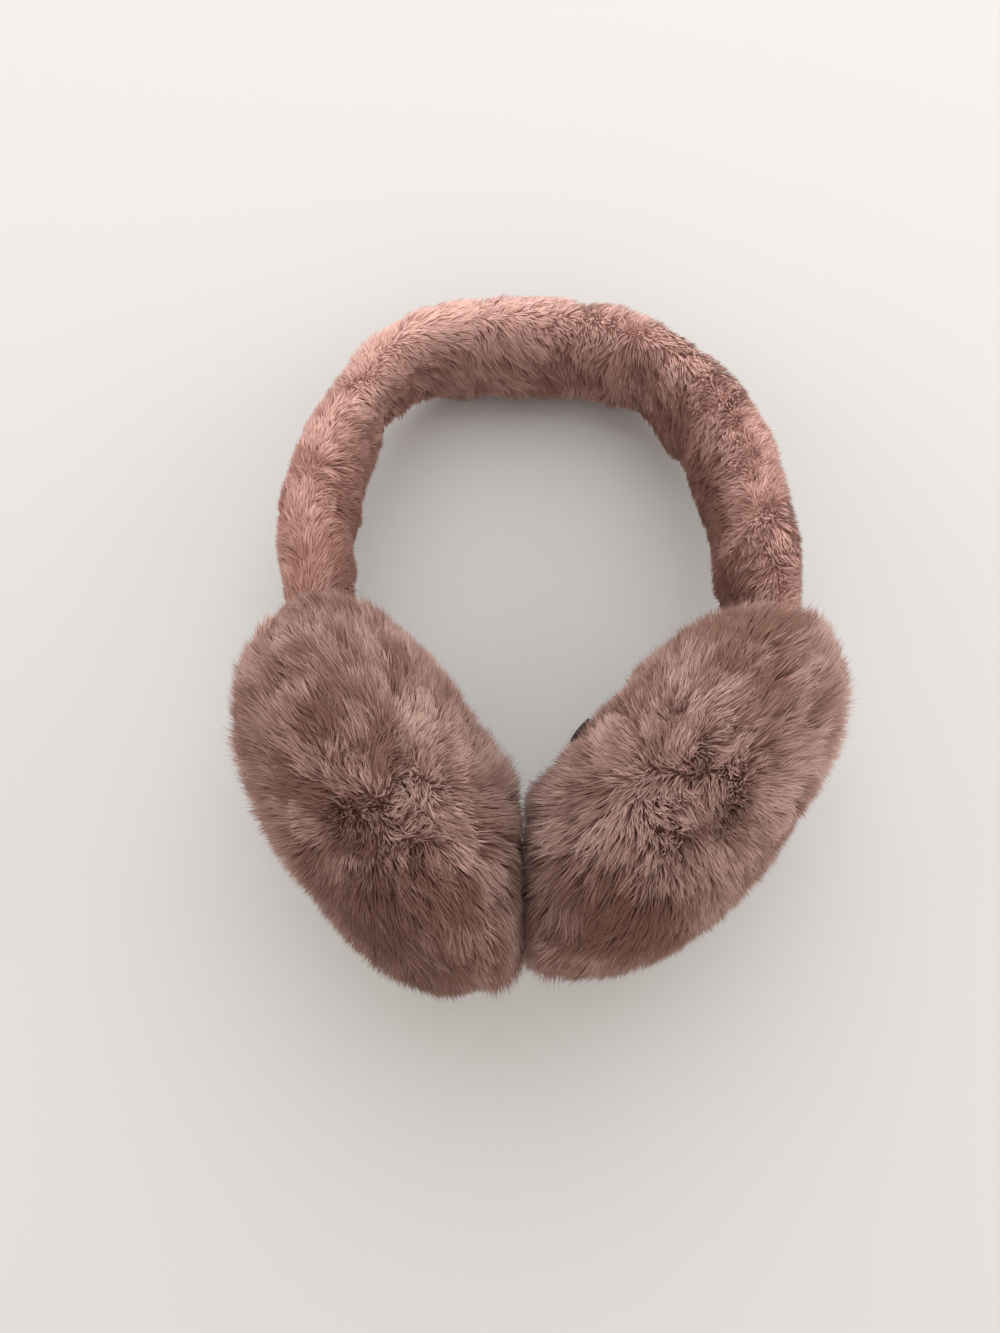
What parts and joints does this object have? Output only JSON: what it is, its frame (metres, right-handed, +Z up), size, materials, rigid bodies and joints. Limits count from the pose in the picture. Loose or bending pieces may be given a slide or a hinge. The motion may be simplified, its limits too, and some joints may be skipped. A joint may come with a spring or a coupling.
{
  "type": "fur earmuffs",
  "caption": "Plush earmuffs lying on their side: a padded fur headband arching between round long-pile ear pads that lean together",
  "frame": {"origin": "on the table, under the middle of the whole as it lies on its side", "axes": "+Z up from the table, +Y from the ear pads towards the crown of the headband, +X from the left pad to the right one"},
  "size_m": [0.1578, 0.2, 0.1154],
  "materials": {
    "band_plush": "dusty pink short-pile plush",
    "pad_fur": "rose-brown long-pile imitation fur",
    "label_tape": "black woven tape, blank"
  },
  "bodies": {
    "root": {"headband": "band_plush", "ear_pad_left": "pad_fur", "ear_pad_right": "pad_fur", "pad_label": "label_tape"}
  },
  "joints": []
}
